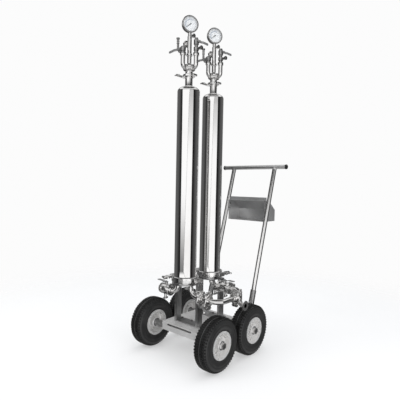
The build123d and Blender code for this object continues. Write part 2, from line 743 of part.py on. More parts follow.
# ---- top set ----------------------------------------------------------------------------
def vent_cross():
    """The cross above the neck: ferrule, two side elbows turning up, and the gauge stem."""
    face = neck_joint_height + half_gasket
    gauge_bottom = gauge_height - gauge_diameter / 2
    shoulder = vent_body_top
    stem = stem_diameter / 2
    outside = turned([(0, face + ferrule_length - 1), (neck_radius, face + ferrule_length - 1),
                      (neck_radius, shoulder - 6), (neck_radius - 4, shoulder),
                      (stem, shoulder + 4), (stem, shoulder + 40), (stem + 4, shoulder + 43),
                      (stem + 4, shoulder + 52), (stem, shoulder + 55), (stem, gauge_bottom - 18),
                      (stem - 2, gauge_bottom - 16), (stem - 2, gauge_bottom - 1), (0, gauge_bottom - 1)])
    outside = outside + aimed(ferrule(neck_radius), (0, 0, face), up)
    bore = [Pos(0, 0, face - 1) * extrude(Circle(neck_bore), amount=shoulder - face - 5),
            Pos(0, 0, shoulder - 10) * extrude(Circle(5), amount=gauge_bottom - shoulder - 10)]
    for way in ((1, 0), (0, -1)):
        def spot(reach, height):
            return (way[0] * reach, way[1] * reach, height)
        path = [spot(8, vent_arm_height), spot(vent_arm_reach, vent_arm_height),
                spot(vent_arm_reach, vent_arm_top)]
        outside = outside + bent(path, vent_arm_bend, tube_diameter - 3)
        outside = outside + rod(spot(neck_radius - 1, vent_arm_height),
                                spot(neck_radius + 7, vent_arm_height), neck_diameter - 2)
        outside = outside + rod(spot(vent_arm_reach, vent_arm_top - 8),
                                spot(vent_arm_reach, vent_arm_top), tube_diameter + 5)
        bore.append(bent(path[:2] + [spot(vent_arm_reach, vent_arm_top + 5)], vent_arm_bend,
                         tube_diameter - 8))
    cap_z = shoulder + gauge_stem_cap_rise
    outside = outside + rod((0, 0, cap_z), (-22, 0, cap_z), 16) + rod((-20, 0, cap_z), (-29, 0, cap_z), 34)
    knob_z = gauge_bottom - gauge_knob_drop
    outside = outside + rod((0, 0, knob_z), (24, 0, knob_z), 9) + rod((22, 0, knob_z), (32, 0, knob_z), 20)
    for cut in bore:
        outside = outside - cut
    return outside


def sample_valve():
    """The sampling valve on the front arm: body, side ball housing and upright hose barb."""
    y = -vent_arm_reach
    low = vent_arm_top
    level = low + sample_ball_rise
    barb_low = low + barb_rise - barb_length
    body = Pos(0, y, low) * turned([
        (0, 0), (15, 0), (15, 7), (11, 9), (11, 12), (14, 14), (14, 32), (11, 36), (0, 36)])
    ball = rod((0, y, level), (-26, y, level), valve_ball_diameter)
    neck = bent([(-20, y, level), (-barb_reach, y, level), (-barb_reach, y, barb_low)], 9, 11)
    barb = turned([(0, 0), (5.5, 0), (7.5, 3), (5.5, 10), (7.5, 13), (5.5, 20), (8.5, 24), (8.5, barb_length),
                   (0, barb_length)])
    body = body + ball + neck + Pos(-barb_reach, y, barb_low) * barb
    body = body - Pos(-barb_reach, y, level + 12) * extrude(Circle(3.5), amount=80)
    side = -sample_lever_offset
    boss = rod((side, y, level), (side, y - valve_ball_diameter / 2 - sample_boss_reach, level), 14)
    pocket = rod((side, y - 6, level), (side, y - 40, level), valve_stem_diameter)
    return body + boss - pocket - Pos(0, y, low - 1) * extrude(Circle(8), amount=12), level


def bleed_valve():
    """The bleed valve on the side arm: upright body with a ball housing and a side spout."""
    x = vent_arm_reach
    low = vent_arm_top
    body = Pos(x, 0, low) * turned([
        (0, 0), (15, 0), (15, 7), (10, 9), (10, 16), (13, 18), (13, 34), (9, 37), (9, 44),
        (13, 48), (13, 70), (9, 74), (9, 80), (0, 80)])
    spout_z = low + spout_rise
    body = body + rod((x, 0, spout_z), (x + spout_reach, 0, spout_z), 13)
    body = body + rod((x + spout_reach - 10, 0, spout_z), (x + spout_reach - 3, 0, spout_z), 20)
    level = low + bleed_ball_rise
    boss = rod((x, 0, level), (x + bleed_boss_reach, 0, level), 14)
    pocket = rod((x + 6, 0, level), (x + 30, 0, level), valve_stem_diameter)
    bore = Pos(x, 0, low - 1) * extrude(Circle(8), amount=12)
    spout_bore = rod((x + 10, 0, spout_z), (x + spout_reach + 5, 0, spout_z), 8)
    return body + boss - pocket - bore - spout_bore, level


def lever(length, width, stem_length):
    """A flat valve lever: stem along -Z from the origin, hub, and a cranked plate along +X."""
    stem = Pos(0, 0, -stem_length) * extrude(
        Circle(valve_stem_diameter / 2 - running_clearance), amount=stem_length + 1)
    hub = extrude(Circle(width * 0.6), amount=4)
    nut = extrude(RegularPolygon(5, 6), amount=9)
    blade = Plane.XZ * make_face(Polyline(
        (0, 0), (length * 0.25, 0), (length * 0.4, 5), (length, 5), (length, 8),
        (length * 0.38, 8), (length * 0.23, 3), (0, 3), close=True))
    blade = extrude(blade, amount=width / 2, both=True)
    ends = blade.edges().filter_by(Axis.Z).sort_by(Axis.X)[-2:]
    blade = fillet(ends, width * 0.4)
    return stem + hub + nut + blade


gauge_front = Vector(sin(radians(gauge_turn)), -cos(radians(gauge_turn)), 0)
case_back = -gauge_depth * 0.6
case_front = gauge_depth * 0.4
window_radius = gauge_window / 2
dial_level = case_front - 8.0


def gauge_parts():
    """A dial gauge along +Z: case with bezel, dial, pointer on its pin, and glass."""
    rim_r = gauge_diameter / 2
    body_r = gauge_body_diameter / 2
    case = turned([(0, case_back), (body_r - 4, case_back), (body_r, case_back + 4),
                   (body_r, case_front - 10), (rim_r, case_front - 9), (rim_r, case_front - 2),
                   (rim_r - 2, case_front), (window_radius + 0.5, case_front),
                   (window_radius, case_front - 1.5), (window_radius, case_front - 3.5),
                   (window_radius + 1.5, case_front - 3.5), (window_radius + 1.5, dial_level - 1),
                   (0, dial_level - 1)])
    case = case + rod((0, -window_radius - 2.2, 0), (0, -rim_r - 1, 0), stem_diameter - 4)
    dial = ring(1.0, window_radius + 1.5, dial_level - 1, dial_level)
    glass = Pos(0, 0, case_front - 3.5) * extrude(Circle(window_radius), amount=2)
    reach = window_radius * 0.74
    pointer = extrude(make_face(Polyline((-9, -2.2), (reach * 0.8, -1.4), (reach, 0),
                                         (reach * 0.8, 1.4), (-9, 2.2), close=True)), amount=0.8)
    pointer = pointer + extrude(Circle(3.2), amount=1.6)
    pointer = Pos(0, 0, dial_level + 0.6) * pointer
    pin = Pos(0, 0, dial_level - 0.9) * extrude(Circle(0.94), amount=1.6)
    return case, dial, glass, pointer + pin


pointer_rest = -140.0
for name, centre_y in housings:
    here = Pos(0, centre_y, 0)
    keep("vent_cross_" + name, here * vent_cross())
    sampler, sample_level = sample_valve()
    bleeder, bleed_level = bleed_valve()
    keep("vent_valves_" + name, here * sampler, here * bleeder)
    sample_face = -vent_arm_reach - valve_ball_diameter / 2 - sample_boss_reach - end_clearance
    keep("sample_lever_" + name, here * aimed(
        lever(vent_lever_length, 11, 8), (-sample_lever_offset, sample_face, sample_level),
        (0, -1, 0), (-1, 0, -0.12)))
    keep("bleed_lever_" + name, here * aimed(
        lever(vent_lever_length, 11, 8),
        (vent_arm_reach + bleed_boss_reach + end_clearance, 0, bleed_level), (1, 0, 0), (0, 1, 0)))
    case, dial, glass, pointer = gauge_parts()
    gauge_at = (0, centre_y, gauge_height)
    sideways = gauge_front.cross(Vector(0, 0, 1)) * -1
    for node, piece in (("gauge_cases", case), ("gauge_dials", dial), ("gauge_glasses", glass),
                        ("gauge_pointer_" + name, Rot(0, 0, pointer_rest) * pointer)):
        keep(node, aimed(piece, gauge_at, gauge_front, sideways))
    keep("neck_clamps", *small_clamp((0, centre_y, neck_joint_height), up, (1, 0, 0), neck_bolt_reach))
    keep("seals", gasket((0, centre_y, neck_joint_height), up, neck_bore))


# ---- pipework ---------------------------------------------------------------------------
def butterfly(centre, way):
    """A clamp-end butterfly valve: body, and its stem, disc and handle as one turning piece."""
    half = valve_length / 2 - half_gasket
    body_r = valve_body_diameter / 2
    body_half = valve_body_width / 2
    half_body = turned([(0, -1), (body_r, -1), (body_r, body_half - 3), (body_r - 3, body_half),
                        (tube_radius + 3, body_half), (tube_radius, body_half + 3),
                        (tube_radius, half - ferrule_length + 1), (0, half - ferrule_length + 1)])
    run = half_body + Rot(180, 0, 0) * half_body
    for end in (1, -1):
        run = run + aimed(ferrule(tube_radius), (0, 0, end * half), (0, 0, -end))
    run = aimed(run, centre, (1, 0, 0))
    x, y, z = centre
    top = z + body_r + 6
    run = run + rod((x, y, z), (x, y, top), 16)
    for side in (-1, 1):
        for high in (-1, 1):
            lug_at = (y + side * (body_r - 4), z + high * (body_r - 4) * 0.7)
            run = run + rod((x - body_half, *lug_at), (x + body_half, *lug_at), 9)
    seat_r = valve_seat_bore / 2
    run = run - rod((x - valve_length, y, z), (x + valve_length, y, z), valve_seat_bore)
    for end in (-1, 1):
        run = run - rod((x + end * valve_seat_width / 2, y, z), (x + end * valve_length, y, z),
                        2 * tube_bore)
    run = run - rod((x, y, z), (x, y, top + 5), valve_stem_diameter)
    half_disc = disc_thickness / 2
    disc = rod((x, y - half_disc, z), (x, y + half_disc, z), valve_seat_bore - 2 * disc_clearance)
    disc = disc + rod((x, y, z - seat_r + 0.6), (x, y, z + seat_r), 6)
    stem = rod((x, y, z), (x, y, top + 2), valve_stem_diameter - 2 * running_clearance)
    handle_piece = aimed(lever(valve_handle_length, valve_handle_width, 1), (x, y, top + end_clearance),
                         up, (way, 0, 0))
    return run, disc + stem + handle_piece


inlet_joints = []
for name, centre_y in housings:
    port, outlet, run_z, face, outlet_face = port_table[name]
    y = centre_y + port[1]
    valve_body, valve_handle = butterfly((face - valve_length / 2, y, inlet_height), -1)
    keep("inlet_valve_" + name, valve_body)
    keep("inlet_handle_" + name, valve_handle)
    inlet_joints.append((face, y, inlet_height))

rear_run_y = housing_rear_y + outlet_rear_port[1]
front_run_y = housing_front_y + outlet_front_port[1]
outlet_body, outlet_handle = butterfly(
    (rear_run_face + valve_length / 2, rear_run_y, rear_run_height), 1)
keep("outlet_valve", outlet_body)
keep("outlet_handle", outlet_handle)
tee_centre = front_run_face + tee_length / 2
tee_end = front_run_face + tee_length
drain_z = front_run_height - drain_valve_drop


def drain_tee():
    """The run tee with a drain ball valve welded under it and a hose barb at the bottom."""
    y = front_run_y
    z = front_run_height
    start = front_run_face + half_gasket
    end = tee_end - half_gasket
    body = rod((start + 2, y, z), (end - 2, y, z), tube_diameter)
    body = body + aimed(ferrule(tube_radius), (start, y, z), (1, 0, 0))
    body = body + aimed(ferrule(tube_radius), (end, y, z), (-1, 0, 0))
    low = z - drain_drop
    body = body + Pos(tee_centre, y, low) * turned([
        (0, 0), (6, 0), (7.5, 3), (6, 10), (7.5, 13), (6, 20), (9, 22), (9, 26), (13, 28), (13, 44),
        (9, 48), (9, 64), (0, 64)])
    body = body + rod((tee_centre, y, drain_z), (tee_centre, y - drain_boss_reach, drain_z), 13)
    body = body - rod((start - 20, y, z), (end + 20, y, z), 2 * tube_bore)
    body = body - rod((tee_centre, y, low - 1), (tee_centre, y, z), 8)
    return body - rod((tee_centre, y - 6, drain_z), (tee_centre, y - 30, drain_z),
                      valve_stem_diameter)


keep("drain_tee", drain_tee())
tilt = radians(drain_lever_tilt)
keep("drain_lever", aimed(lever(drain_lever_length, 12, 9),
                          (tee_centre, front_run_y - drain_boss_reach - end_clearance, drain_z),
                          (0, -1, 0),
                          (cos(tilt), 0, sin(tilt))))

branch_y = rear_run_y - branch_stub


def sweep_pipe():
    """The long pipe from the tee that turns back along the cart to the collector."""
    z = front_run_height
    start = tee_end + half_gasket
    path = [(start + 2, front_run_y, z), (collector_x, front_run_y, z),
            (collector_x, branch_y - half_gasket - 2, z)]
    body = bent(path, sweep_bend, tube_diameter)
    body = body + aimed(ferrule(tube_radius), (start, front_run_y, z), (1, 0, 0))
    body = body + aimed(ferrule(tube_radius), (collector_x, branch_y - half_gasket, z), (0, -1, 0))
    bore = [(start - 9, front_run_y, z), (collector_x, front_run_y, z),
            (collector_x, branch_y + 9, z)]
    return body - bent(bore, sweep_bend, 2 * tube_bore)


def collector_run(start, end, diameter):
    """The collector's two elbows, one above the other, as one round bar."""
    y = rear_run_y
    middle = (collector_x, y, (front_run_height + collector_outlet_height) / 2)
    upper = [(start, y, rear_run_height), (collector_x, y, rear_run_height), middle]
    lower = [middle, (collector_x, y, collector_outlet_height), (end, y, collector_outlet_height)]
    return bent(upper, collector_bend, diameter), bent(lower, collector_outlet_bend, diameter)


def collector():
    """The collector: both runs meet in one upright tube that turns out to the outlet ferrule."""
    start = rear_run_face + valve_length + half_gasket
    end = collector_outlet_end
    y = rear_run_y
    z = front_run_height
    stub_end = branch_y + half_gasket
    upper, lower = collector_run(start + 2, end - 2, tube_diameter)
    body = upper + lower
    body = body + rod((collector_x, y, z), (collector_x, stub_end + 2, z), tube_diameter - 0.8)
    body = body + aimed(ferrule(tube_radius), (start, y, rear_run_height), (1, 0, 0))
    body = body + aimed(ferrule(tube_radius), (end, y, collector_outlet_height), (-1, 0, 0))
    body = body + aimed(ferrule(tube_radius), (collector_x, stub_end, z), (0, 1, 0))
    for cut in collector_run(start - 9, end + 9, 2 * tube_bore):
        body = body - cut
    return body - rod((collector_x, y, z), (collector_x, branch_y - 9, z), 2 * tube_bore)


keep("sweep_pipe", sweep_pipe())
keep("collector", collector())

along_x = [*inlet_joints, (front_run_face, front_run_y, front_run_height),
           (tee_end, front_run_y, front_run_height), (rear_run_face, rear_run_y, rear_run_height),
           (rear_run_face + valve_length, rear_run_y, rear_run_height)]
front_run_joints = along_x[2:4]
for joint in along_x:
    across = (0, 0, -1) if joint in front_run_joints else (0, 1, 0)
    keep("pipe_clamps", *small_clamp(joint, (1, 0, 0), across))
    keep("seals", gasket(joint, (1, 0, 0), tube_bore))
branch_joint = (collector_x, branch_y, front_run_height)
keep("pipe_clamps", *small_clamp(branch_joint, (0, 1, 0), (0, 0, -1)))
keep("seals", gasket(branch_joint, (0, 1, 0), tube_bore))


# ---- export -----------------------------------------------------------------------------
os.makedirs("parts", exist_ok=True)
for name, pieces in nodes.items():
    solids = [solid for piece in pieces for solid in piece.solids()]
    moved = [Pos(0, -middle_y, 0) * solid for solid in solids]
    whole = moved[0] if len(moved) == 1 else Compound(children=moved)
    export_step(whole, os.path.join("parts", name + ".step"))
print(len(nodes), "nodes; the middle of the cart is at y =", round(middle_y, 3))
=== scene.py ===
# %% [markdown]
# # Two filter housings on a four-wheel cart
# The cart carries two tall polished housings with a filter candle in each. Its solids are
# loaded as a fixed frame, in metres, and every cell below either finishes one of them or adds
# a small piece that rides on it. Nothing in the frame is moved.

# %% Load the frame
import json
from math import cos, degrees, pi, radians, sin

import bmesh
import bpy
from mathutils import Matrix, Vector

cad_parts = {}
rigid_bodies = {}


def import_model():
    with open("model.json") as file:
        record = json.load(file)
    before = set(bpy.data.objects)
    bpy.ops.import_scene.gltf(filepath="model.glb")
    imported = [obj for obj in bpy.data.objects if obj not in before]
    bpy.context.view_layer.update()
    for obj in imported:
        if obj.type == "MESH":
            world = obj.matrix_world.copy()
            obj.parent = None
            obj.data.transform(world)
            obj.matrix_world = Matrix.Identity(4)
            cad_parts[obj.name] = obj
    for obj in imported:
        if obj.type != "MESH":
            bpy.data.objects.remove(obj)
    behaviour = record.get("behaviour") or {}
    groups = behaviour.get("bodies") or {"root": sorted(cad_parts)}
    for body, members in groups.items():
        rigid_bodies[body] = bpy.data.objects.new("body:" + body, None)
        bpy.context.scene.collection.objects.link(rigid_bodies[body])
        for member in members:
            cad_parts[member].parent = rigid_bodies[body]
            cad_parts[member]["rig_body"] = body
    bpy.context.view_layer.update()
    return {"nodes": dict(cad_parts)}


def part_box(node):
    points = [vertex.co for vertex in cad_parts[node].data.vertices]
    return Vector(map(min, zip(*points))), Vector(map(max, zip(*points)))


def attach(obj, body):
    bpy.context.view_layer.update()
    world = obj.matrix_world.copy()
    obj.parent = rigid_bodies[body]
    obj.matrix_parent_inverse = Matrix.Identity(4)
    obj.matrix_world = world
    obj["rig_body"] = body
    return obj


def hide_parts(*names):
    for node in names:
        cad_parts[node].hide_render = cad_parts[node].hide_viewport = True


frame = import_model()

nodes = frame["nodes"]

# %% [markdown]
# ## Sizes that several cells share
# The housings stand in line, one behind the other, so one list of their centres places every
# weld, dial mark and thread. The centres are read from the frame, not typed again. Outlines and
# small shapes are written in millimetres and scaled by `mm` when they become a mesh.


# %% Places on the cart
def middle(node):
    low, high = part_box(node)
    return (Vector(low) + Vector(high)) / 2


mm = 0.001
housing = {name: Vector((0, middle("bell_" + name).y, 0)) for name in ("front", "rear")}
wheels = {place: middle("tyre_" + place)
          for place in ("front_left", "front_right", "rear_left", "rear_right")}
print({name: round(centre.y, 4) for name, centre in housing.items()})


def outward(centre):
    """The way out of the cart along a wheel's axle."""
    return Vector((1 if centre.x > 0 else -1, 0, 0))


# %% [markdown]
# ## A helper for finished meshes
# A turned piece such as a housing is an outline spun about its axis. Spinning it here, with
# many steps and smooth shading, gives a clean reflection, which is what makes polished steel
# look polished. Each mesh is made in place, so its object stays at the origin.


# %% Make a mesh piece
def mesh_piece(name, verts, faces, body, material, sharp=35.0, replaces=()):
    mesh = bpy.data.meshes.new(name)
    mesh.from_pydata([tuple(vert) for vert in verts], [], faces)
    shape = bmesh.new()
    shape.from_mesh(mesh)
    bmesh.ops.remove_doubles(shape, verts=shape.verts, dist=1e-6)
    bmesh.ops.recalc_face_normals(shape, faces=shape.faces)
    shape.to_mesh(mesh)
    shape.free()
    return settle(name, mesh, body, material, sharp, replaces)


def settle(name, mesh, body, material, sharp=35.0, replaces=()):
    mesh.materials.clear()
    mesh.materials.append(material)
    mesh.shade_smooth()
    mesh.set_sharp_from_angle(angle=radians(sharp))
    piece = bpy.data.objects.new(name, mesh)
    bpy.context.scene.collection.objects.link(piece)
    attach(piece, body)
    if replaces:
        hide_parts(*replaces)
    return piece


def standing(at, direction, across=None):
    """The matrix that stands +Z along a direction at a point."""
    z = Vector(direction).normalized()
    x = Vector(across) if across is not None else (
        Vector((0, 0, 1)) if abs(z.z) < 0.9 else Vector((1, 0, 0)))
    x = (x - z * x.dot(z)).normalized()
    turn = Matrix((x, z.cross(x), z)).transposed().to_4x4()
    return Matrix.Translation(Vector(at)) @ turn


def spun(outline, place, steps=96, closed=False):
    """Vertices and faces of an outline of (radius, height) in millimetres, spun about +Z."""
    rings = []
    verts = []
    for radius, height in outline:
        if radius < 1e-4:
            rings.append([len(verts)] * steps)
            verts.append(place @ Vector((0, 0, height * mm)))
        else:
            rings.append(list(range(len(verts), len(verts) + steps)))
            verts += [place @ Vector((radius * mm * cos(2 * pi * step / steps),
                                      radius * mm * sin(2 * pi * step / steps), height * mm))
                      for step in range(steps)]
    faces = []
    pairs = list(zip(rings, rings[1:])) + ([(rings[-1], rings[0])] if closed else [])
    for low, high in pairs:
        for step in range(steps):
            after = (step + 1) % steps
            corners = []
            for vert in (low[step], low[after], high[after], high[step]):
                if vert not in corners:
                    corners.append(vert)
            if len(corners) > 2:
                faces.append(corners)
    return verts, faces


# %% [markdown]
# ## Shader maths as plain expressions
# A finish is easier to read as a sum than as a web of nodes. `Wire` stands for one output of
# a node and turns +, - and * into Math nodes. `Finish` holds a material and adds any other
# node from its type, its settings and its inputs.


# %% Wires and finishes
class Wire:
    def __init__(self, finish, socket):
        self.finish, self.socket = finish, socket

    def maths(self, operation, first, second):
        return self.finish.add("ShaderNodeMath", {"operation": operation}, {0: first, 1: second})

    def __add__(self, other):
        return self.maths("ADD", self, other)

    def __sub__(self, other):
        return self.maths("SUBTRACT", self, other)

    def __rsub__(self, other):
        return self.maths("SUBTRACT", other, self)

    def __mul__(self, other):
        return self.maths("MULTIPLY", self, other)

    __radd__ = __add__
    __rmul__ = __mul__


class Finish:
    def __init__(self, name, tree=None):
        if tree is None:
            self.material = bpy.data.materials.new(name)
            self.material.use_nodes = True
            tree = self.material.node_tree
        self.tree = tree
        self.tree.nodes.clear()

    def add(self, kind, settings=None, inputs=None, output=0):
        node = self.tree.nodes.new(kind)
        for key, value in (settings or {}).items():
            setattr(node, key, value)
        for key, value in (inputs or {}).items():
            if isinstance(value, Wire):
                self.tree.links.new(value.socket, node.inputs[key])
            else:
                node.inputs[key].default_value = value
        return Wire(self, node.outputs[output]) if node.outputs else None

    def place(self, stretch=(1, 1, 1)):
        here = self.add("ShaderNodeTexCoord", output="Object")
        return self.add("ShaderNodeMapping", {}, {"Vector": here, "Scale": stretch})

    def noise(self, scale, detail=3.0, stretch=(1, 1, 1), rough=0.55):
        return self.add("ShaderNodeTexNoise", {}, {
            "Vector": self.place(stretch), "Scale": scale, "Detail": detail,
            "Roughness": rough})

    def parts(self, vector):
        """The three numbers of a vector, as wires."""
        split = self.tree.nodes.new("ShaderNodeSeparateXYZ")
        self.tree.links.new(vector.socket, split.inputs[0])
        return [Wire(self, socket) for socket in split.outputs]

    def spread(self, value, low, high, new_low=0.0, new_high=1.0):
        return self.add("ShaderNodeMapRange", {"interpolation_type": "SMOOTHSTEP"}, {
            "Value": value, "From Min": low, "From Max": high, "To Min": new_low,
            "To Max": new_high})

    def mix(self, share, first, second):
        return self.add("ShaderNodeMix", {"data_type": "RGBA"}, {
            0: share, 6: first, 7: second}, output=2)

    def bump(self, height, strength, distance):
        return self.add("ShaderNodeBump", {}, {"Height": height, "Strength": strength,
                                               "Distance": distance})

    def surface(self, **sockets):
        names = {key.replace("_", " "): value for key, value in sockets.items()}
        shader = self.add("ShaderNodeBsdfPrincipled", {}, names)
        self.add("ShaderNodeOutputMaterial", {}, {"Surface": shader})
        return self.material


def grey(level, warm=0.0):
    """A grey, a little warm or cool, as a colour."""
    return (level * (1 + warm), level, level * (1 - warm), 1)


# %% [markdown]
# ## Steel in its several finishes
# One alloy wears several finishes here. The housings and pipes are mirror polished, the clamps
# are bright castings, the valves and levers are darker ones, the legs are satin, the deck is
# bead blasted and the tray is brushed sheet. Polish is low roughness with faint wipe marks, a
# cast skin is a soft bump, and brushing is noise stretched along the grain.


# %% Polished and cast steel
def polished_steel(name, level=0.83, low=0.035, high=0.1, grain=(1, 1, 24)):
    finish = Finish(name)
    wipe = finish.noise(14, 4, (1, 1, 0.35))
    fine = finish.noise(260, 2, grain)
    stain = finish.noise(5.5, 5, (1, 1, 0.5), 0.65)
    colour = finish.mix(finish.spread(stain, 0.42, 0.72), grey(level, 0.006),
                        grey(level * 0.9, 0.012))
    rough = finish.spread(wipe * 0.7 + fine * 0.3, 0.35, 0.7, low, high)
    return finish.surface(Base_Color=colour, Metallic=1.0, Roughness=rough,
                          Normal=finish.bump(fine, 0.04, 0.0004))


def cast_steel(name, level=0.72, low=0.13, high=0.3, metal=1.0):
    finish = Finish(name)
    skin = finish.noise(150, 4)
    pits = finish.noise(42, 3)
    colour = finish.mix(finish.spread(pits, 0.35, 0.68), grey(level, 0.01), grey(level * 0.72))
    rough = finish.spread(skin, 0.3, 0.75, low, high)
    return finish.surface(Base_Color=colour, Metallic=metal, Roughness=rough,
                          Normal=finish.bump(skin * 0.6 + pits * 0.4, 0.25, 0.0009))


column_polish = polished_steel("column_polish", 0.86, 0.03, 0.075, (1, 1, 40))
pipe_polish = polished_steel("pipe_polish", 0.82, 0.05, 0.13, (1, 1, 1))
gauge_polish = polished_steel("gauge_polish", 0.5, 0.05, 0.12, (1, 1, 1))
clamp_casting = cast_steel("clamp_casting", 0.92, 0.1, 0.22)
valve_casting = cast_steel("valve_casting", 0.42, 0.08, 0.2)
lever_casting = cast_steel("lever_casting", 0.36, 0.25, 0.4, 0.5)
ground_steel = cast_steel("ground_steel", 0.58)
nut_steel = cast_steel("nut_steel", 0.85)


# %% Satin, blasted and brushed steel
def grained_steel(name, level, stretch, rough, depth, warm=0.0, metal=1.0):
    finish = Finish(name)
    grain = finish.noise(90, 3, stretch)
    cloud = finish.noise(9, 4)
    colour = finish.mix(finish.spread(grain * 0.55 + cloud * 0.45, 0.3, 0.7),
                        grey(level * 0.8, warm), grey(level * 1.15, warm))
    return finish.surface(
        Base_Color=colour, Metallic=metal,
        Roughness=finish.spread(grain, 0.25, 0.75, rough - 0.07, rough + 0.09),
        Normal=finish.bump(grain, depth, 0.0006))


leg_satin = grained_steel("leg_satin", 0.5, (14, 14, 0.5), 0.34, 0.12)
deck_blast = grained_steel("deck_blast", 0.8, (6, 6, 6), 0.5, 0.3, 0.01, 0.6)
tray_brush = grained_steel("tray_brush", 0.66, (18, 18, 0.6), 0.36, 0.14, metal=0.8)


def handle_tube():
    """Polished uprights that turn to satin on the crossbar, where hands wear the polish off. The
    crossbar's colour is painted shade, dark at its left end and light at its right.
    """
    finish = Finish("handle_tube")
    across, _, height = finish.parts(finish.add("ShaderNodeTexCoord", output="Object"))
    bar = finish.spread(height, 0.9885, 0.9900)
    # Painted shade: the crossbar's colour runs from dark grey at its left end to light grey at
    # its right, as the light falls on it.
    painted_shade_across = finish.spread(across, -0.2, 0.2)
    wipe = finish.noise(30, 4)
    grain = finish.noise(120, 2, (0.3, 12, 12))
    return finish.surface(
        Base_Color=finish.mix(bar, grey(0.84, 0.006), finish.mix(painted_shade_across, grey(0.4), grey(0.85))),
        Metallic=1.0, Roughness=finish.spread(wipe, 0.3, 0.7, 0.05, 0.12) + bar * 0.28,
        Normal=finish.bump(grain, 0.05, 0.0004))


upright_polish = handle_tube()
frame_satin = grained_steel("frame_satin", 0.45, (1, 12, 12), 0.33, 0.14)


# %% [markdown]
# ## Rubber, paint, plastic and glass
# The tyres are matt carbon-black rubber, a lighter grey on the sidewalls as a painted sheen. The
# rims carry silver wheel paint over pressed steel. The dial is white enamel behind glass.


# %% Soft and painted finishes
def dull(name, colour, other, rough, scale, depth=0.2, coat=0.0, distance=0.0006):
    finish = Finish(name)
    speck = finish.noise(scale, 4)
    cloud = finish.noise(scale / 12, 3)
    return finish.surface(
        Base_Color=finish.mix(finish.spread(cloud * 0.6 + speck * 0.4, 0.35, 0.68), colour,
                              other),
        Roughness=finish.spread(speck, 0.3, 0.7, rough - 0.06, rough + 0.06), Coat_Weight=coat,
        Coat_Roughness=0.25, Normal=finish.bump(speck, depth, distance))


# Painted sheen: the sidewall rubber is a lighter grey than the tread, standing for the soft
# sheen the shoulders catch.
sidewall_rubber = dull("sidewall_rubber", grey(0.02), grey(0.03), 0.36, 420, 0.2)
tread_rubber = dull("tread_rubber", grey(0.004), grey(0.009), 0.52, 520, 0.35)
groove_rubber = dull("groove_rubber", grey(0.05), grey(0.08), 0.4, 420, 0.2)
cap_plastic = dull("cap_plastic", grey(0.008), grey(0.014), 0.4, 300)
seal_silicone = dull("seal_silicone", grey(0.62, 0.01), grey(0.7, 0.02), 0.45, 200, 0.1)
candle_plastic = dull("candle_plastic", grey(0.78, 0.01), grey(0.84, 0.02), 0.5, 90, 0.1)
dial_enamel = dull("dial_enamel", (0.86, 0.87, 0.88, 1), (0.9, 0.9, 0.91, 1), 0.35, 160, 0.03)
mark_ink = dull("mark_ink", (0.03, 0.035, 0.05, 1), (0.05, 0.05, 0.07, 1), 0.5, 300, 0.02)
band_ink = dull("band_ink", (0.16, 0.22, 0.33, 1), (0.2, 0.27, 0.38, 1), 0.5, 300, 0.02)
needle_paint = dull("needle_paint", grey(0.012), grey(0.02), 0.35, 300, 0.02)


def wheel_paint():
    finish = Finish("wheel_paint")
    flake = finish.noise(900, 2)
    cloud = finish.noise(18, 4)
    colour = finish.mix(finish.spread(flake * 0.4 + cloud * 0.6, 0.35, 0.68), grey(0.86, 0.01),
                        grey(0.95, 0.01))
    return finish.surface(Base_Color=colour, Metallic=0.55,
                          Roughness=finish.spread(cloud, 0.3, 0.7, 0.24, 0.34),
                          Normal=finish.bump(flake, 0.12, 0.0004))


def window_glass():
    finish = Finish("window_glass")
    smear = finish.noise(30, 4)
    return finish.surface(Base_Color=(0.93, 0.96, 0.97, 1), Alpha=0.1, IOR=1.5,
                          Roughness=finish.spread(smear, 0.35, 0.7, 0.01, 0.07))


rim_paint = wheel_paint()
gauge_glass = window_glass()
print(len(bpy.data.materials), "finishes")

# %% [markdown]
# ## Dress the frame's own solids
# Most solids already have the right shape, but they come as loose flat triangles. A merged
# copy with smooth normals takes a highlight like turned metal, and it stands for the solid it
# was copied from. Only sharp edges stay sharp.

# %% Choose a finish for each solid
dress = {}


def wear(material, *names):
    for name in names:
        dress[name] = material


both = ("front", "rear")
wear(column_polish, *["bell_" + side for side in both])
wear(pipe_polish, *[kind + "_" + side for side in both for kind in (
    "base", "vent_cross", "inlet_valve")])
wear(valve_casting, "vent_valves_front", "vent_valves_rear")
wear(gauge_polish, "gauge_cases")
wear(pipe_polish, "outlet_valve", "drain_tee", "sweep_pipe", "collector")
wear(clamp_casting, "neck_clamps", "pipe_clamps", *[kind + side for side in both for kind in (
    "base_clamp_", "base_wing_nut_")])
wear(lever_casting, "outlet_handle", "drain_lever", *[kind + side for side in both for kind in (
    "inlet_handle_", "sample_lever_", "bleed_lever_")])
wear(leg_satin, "leg_frame_front", "leg_frame_rear")
wear(deck_blast, "deck")
wear(tray_brush, "tool_tray")
wear(upright_polish, "handle_frame")
wear(frame_satin, "axle_tubes", "handle_sockets")
wear(nut_steel, "axle_nuts")
wear(ground_steel, "axle_rods", "frame_bolts",
     *["wheel_bearings_" + place for place in wheels])
wear(rim_paint, *["rim_" + place for place in wheels])
wear(sidewall_rubber, *["tyre_" + place for place in wheels])
wear(cap_plastic, "handle_end_caps")
wear(seal_silicone, "seals")
wear(candle_plastic, "cartridge_front", "cartridge_rear")
wear(dial_enamel, "gauge_dials")
wear(gauge_glass, "gauge_glasses")
wear(needle_paint, "gauge_pointer_front", "gauge_pointer_rear")
print("undressed:", sorted(set(nodes) - set(dress)))

